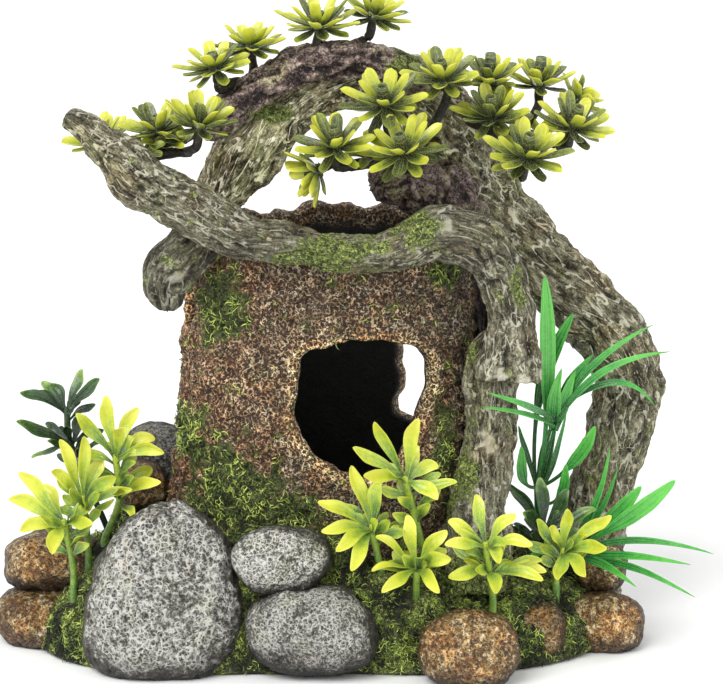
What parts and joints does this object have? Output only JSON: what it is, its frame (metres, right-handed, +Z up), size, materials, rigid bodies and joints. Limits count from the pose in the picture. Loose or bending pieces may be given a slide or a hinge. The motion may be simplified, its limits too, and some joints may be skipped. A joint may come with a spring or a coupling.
{
  "type": "resin cave ornament",
  "caption": "Aquarium cave ornament: a hollow tree stump with a doorway, driftwood roots arching over it, loose stones round a mossy base, and plastic leaves that sway.",
  "frame": {"origin": "on the flat underside of the base, below the middle of the hollow stump", "axes": "+X to the viewer's right along the longest side, +Y away from the viewer through the doorway, +Z up"},
  "size_m": [0.2027, 0.1064, 0.1841],
  "materials": {
    "moss_resin": "cast polyresin, painted and flocked to look like moss",
    "bark_resin": "cast polyresin, matt brown bark with tan dry brushing",
    "driftwood_resin": "cast polyresin, matt grey-olive wood grain",
    "dark_bark_resin": "cast polyresin, matt purple-brown bark",
    "grey_stone_resin": "cast polyresin, matt grey stone",
    "brown_stone_resin": "cast polyresin, matt brown stone",
    "twig_plastic": "moulded dark plastic",
    "whorl_leaf": "soft moulded plastic, lime tips and dark hubs",
    "lime_leaf": "soft moulded plastic, yellow-green",
    "dark_leaf": "soft moulded plastic, dark green",
    "grass_leaf": "soft moulded plastic, bright green"
  },
  "bodies": {
    "resin": {"base_casting": "moss_resin", "stump_shell": "bark_resin", "arch_root": "driftwood_resin", "front_branch": "driftwood_resin", "lower_front_root": "driftwood_resin", "left_root_knob": "driftwood_resin", "bark_strip": "dark_bark_resin", "shoulder_burl": "dark_bark_resin", "big_boulder": "grey_stone_resin", "stone_mid_grey": "grey_stone_resin", "stone_front_grey": "grey_stone_resin", "stone_back_left": "grey_stone_resin", "stone_upper_left": "brown_stone_resin", "stone_lower_left": "brown_stone_resin", "stone_front_brown": "brown_stone_resin", "stone_right_brown": "brown_stone_resin", "stone_small_brown": "brown_stone_resin", "pebble_back_left": "brown_stone_resin", "pebble_right": "brown_stone_resin", "twig_front": "twig_plastic", "twig_right": "twig_plastic", "twig_top_left": "twig_plastic", "twig_top": "twig_plastic", "twig_left": "twig_plastic", "leaf_whorl_front_1": "whorl_leaf", "leaf_whorl_front_2": "whorl_leaf", "leaf_whorl_front_3": "whorl_leaf", "leaf_whorl_front_4": "whorl_leaf", "leaf_whorl_front_5": "whorl_leaf", "leaf_whorl_right_1": "whorl_leaf", "leaf_whorl_right_2": "whorl_leaf", "leaf_whorl_right_3": "whorl_leaf", "leaf_whorl_right_4": "whorl_leaf", "leaf_whorl_right_5": "whorl_leaf", "leaf_whorl_right_6": "whorl_leaf", "leaf_whorl_top_left_1": "whorl_leaf", "leaf_whorl_top_left_2": "whorl_leaf", "leaf_whorl_top_1": "whorl_leaf", "leaf_whorl_top_2": "whorl_leaf", "leaf_whorl_left_1": "whorl_leaf", "leaf_whorl_left_2": "whorl_leaf", "leaf_whorl_left_3": "whorl_leaf"},
    "sprig_left_tall": {"sprig_left_tall": "lime_leaf"},
    "sprig_left_front": {"sprig_left_front": "lime_leaf"},
    "sprig_left_low": {"sprig_left_low": "lime_leaf"},
    "sprig_left_dark": {"sprig_left_dark": "dark_leaf"},
    "sprig_centre_tall": {"sprig_centre_tall": "lime_leaf"},
    "sprig_centre_left": {"sprig_centre_left": "lime_leaf"},
    "sprig_centre_right": {"sprig_centre_right": "lime_leaf"},
    "sprig_front_right": {"sprig_front_right": "lime_leaf"},
    "sprig_right_yellow": {"sprig_right_yellow": "lime_leaf"},
    "sprig_right_dark": {"sprig_right_dark": "dark_leaf"},
    "grass_tall": {"grass_tall": "grass_leaf"},
    "grass_right": {"grass_right": "grass_leaf"}
  },
  "joints": [
    {"name": "sprig_left_tall_sway", "type": "hinge", "parent": "resin", "child": "sprig_left_tall", "pos_m": [-0.0663, -0.0125, 0.02902], "axis": [0.9659, 0.2588, 0], "range_deg": [-8, 8], "stiffness_Nm_per_rad": 0.006},
    {"name": "sprig_left_front_sway", "type": "hinge", "parent": "resin", "child": "sprig_left_front", "pos_m": [-0.0706, -0.0175, 0.02423], "axis": [0.9659, 0.2588, 0], "range_deg": [-8, 8], "stiffness_Nm_per_rad": 0.006},
    {"name": "sprig_left_low_sway", "type": "hinge", "parent": "resin", "child": "sprig_left_low", "pos_m": [-0.0746, -0.022, 0.0165], "axis": [0.9659, 0.2588, 0], "range_deg": [-8, 8], "stiffness_Nm_per_rad": 0.006},
    {"name": "sprig_left_dark_sway", "type": "hinge", "parent": "resin", "child": "sprig_left_dark", "pos_m": [-0.066, 0.001, 0.02587], "axis": [1, 0, 0], "range_deg": [-8, 8], "stiffness_Nm_per_rad": 0.006},
    {"name": "sprig_centre_tall_sway", "type": "hinge", "parent": "resin", "child": "sprig_centre_tall", "pos_m": [0.023, -0.031, 0.02651], "axis": [1, 0, 0], "range_deg": [-8, 8], "stiffness_Nm_per_rad": 0.006},
    {"name": "sprig_centre_left_sway", "type": "hinge", "parent": "resin", "child": "sprig_centre_left", "pos_m": [0.0114, -0.0334, 0.02703], "axis": [1, 0, 0], "range_deg": [-8, 8], "stiffness_Nm_per_rad": 0.006},
    {"name": "sprig_centre_right_sway", "type": "hinge", "parent": "resin", "child": "sprig_centre_right", "pos_m": [0.021, -0.0354, 0.02047], "axis": [1, 0, 0], "range_deg": [-8, 8], "stiffness_Nm_per_rad": 0.006},
    {"name": "sprig_front_right_sway", "type": "hinge", "parent": "resin", "child": "sprig_front_right", "pos_m": [0.0422, -0.0355, 0.01326], "axis": [1, 0, 0], "range_deg": [-6, 8], "stiffness_Nm_per_rad": 0.006},
    {"name": "sprig_right_yellow_sway", "type": "hinge", "parent": "resin", "child": "sprig_right_yellow", "pos_m": [0.0604, -0.0184, 0.01581], "axis": [0.7071, 0.7071, 0], "range_deg": [-8, 8], "stiffness_Nm_per_rad": 0.006},
    {"name": "sprig_right_dark_sway", "type": "hinge", "parent": "resin", "child": "sprig_right_dark", "pos_m": [0.0544, -0.012, 0.02159], "axis": [0.866, 0.5, 0], "range_deg": [-6, 8], "stiffness_Nm_per_rad": 0.006},
    {"name": "grass_tall_sway", "type": "hinge", "parent": "resin", "child": "grass_tall", "pos_m": [0.0566, -0.0005, 0.02397], "axis": [0, 1, 0], "range_deg": [-8, 8], "stiffness_Nm_per_rad": 0.006},
    {"name": "grass_right_sway", "type": "hinge", "parent": "resin", "child": "grass_right", "pos_m": [0.0626, -0.0072, 0.01901], "axis": [0, 1, 0], "range_deg": [-7, 8], "stiffness_Nm_per_rad": 0.006}
  ]
}
